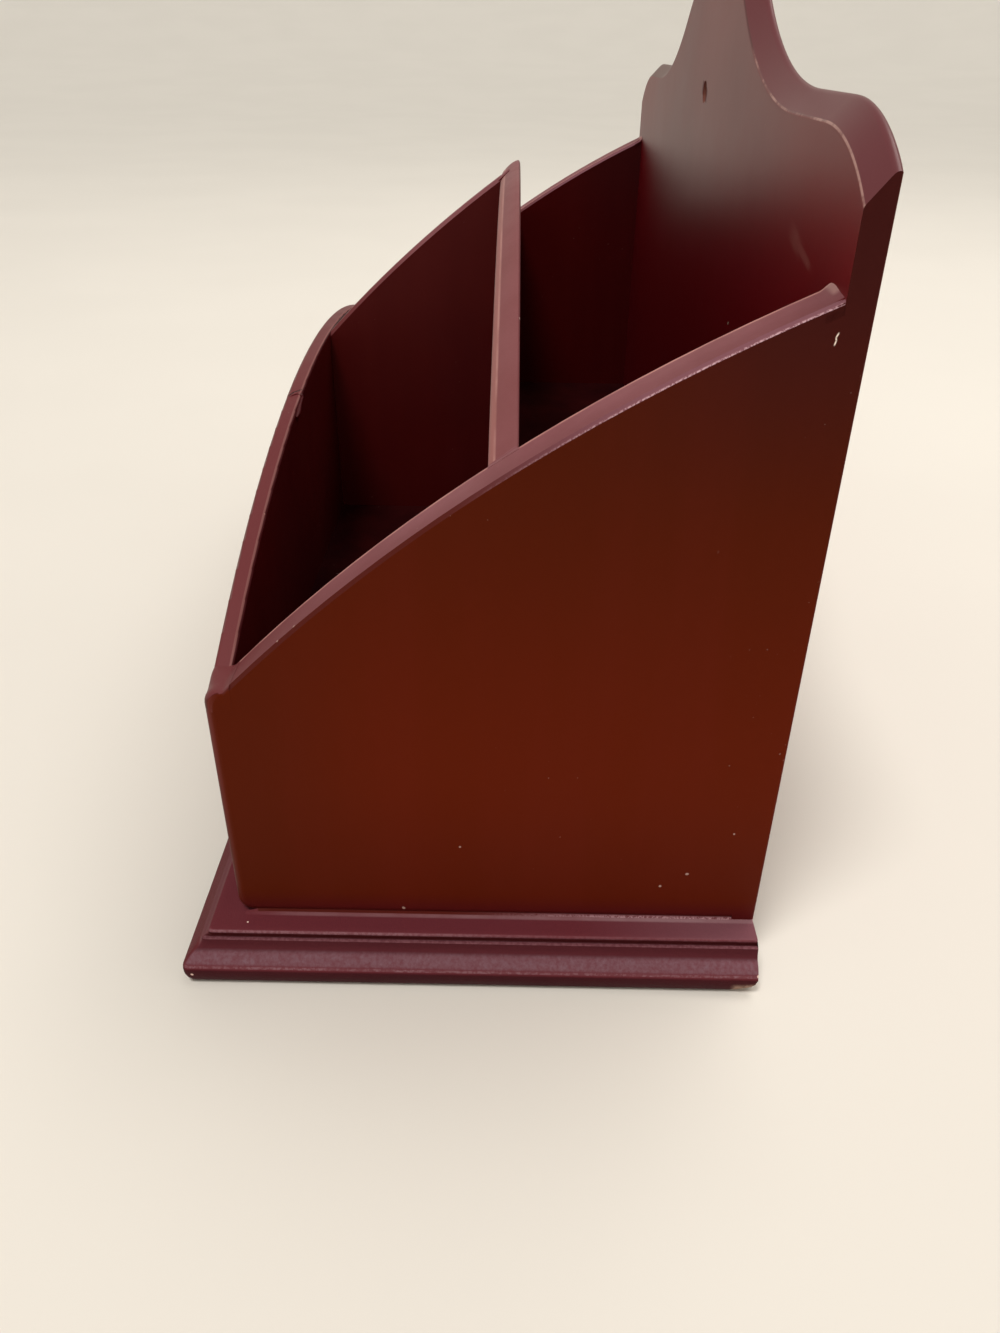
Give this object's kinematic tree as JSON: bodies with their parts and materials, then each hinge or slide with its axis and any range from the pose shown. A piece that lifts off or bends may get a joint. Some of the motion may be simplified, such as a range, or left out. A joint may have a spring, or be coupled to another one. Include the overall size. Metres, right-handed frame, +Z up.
{
  "type": "envelope sorter with drawer",
  "caption": "Painted wooden desk sorter: arched end boards, a split front pocket and a rear pocket for envelopes, a shaped back board to hang or stand, and a shallow drawer below.",
  "frame": {"origin": "centre of the bounding box on the plane that the base stands on", "axes": "+Z up, front with the drawer towards -Y, +X to the right as seen from the front"},
  "size_m": [0.286, 0.1146, 0.1756],
  "materials": {
    "burgundy_paint": "satin burgundy paint over wood, edges worn",
    "bare_wood": "unfinished light wood",
    "thin_board": "thin plywood, unfinished",
    "steel": "plain steel",
    "brass": "lacquered, slightly dulled"
  },
  "bodies": {
    "case": {"base_plate": "burgundy_paint", "right_side_panel": "burgundy_paint", "left_side_panel": "burgundy_paint", "back_board": "burgundy_paint", "front_panel": "burgundy_paint", "divider": "burgundy_paint", "centre_partition": "burgundy_paint", "pocket_floor": "burgundy_paint", "base_screws": "steel", "back_brads": "steel", "partition_brads": "steel", "right_side_brads": "steel", "left_side_brads": "steel"},
    "drawer": {"drawer_front": "burgundy_paint", "drawer_right_side": "bare_wood", "drawer_left_side": "bare_wood", "drawer_back": "bare_wood", "drawer_bottom": "thin_board", "drawer_brads": "steel", "knob": "brass", "knob_screw": "steel"}
  },
  "joints": [
    {"name": "drawer_slide", "type": "slide", "parent": "case", "child": "drawer", "axis": [0, -1, 0], "range_m": [0, 0.07]}
  ]
}
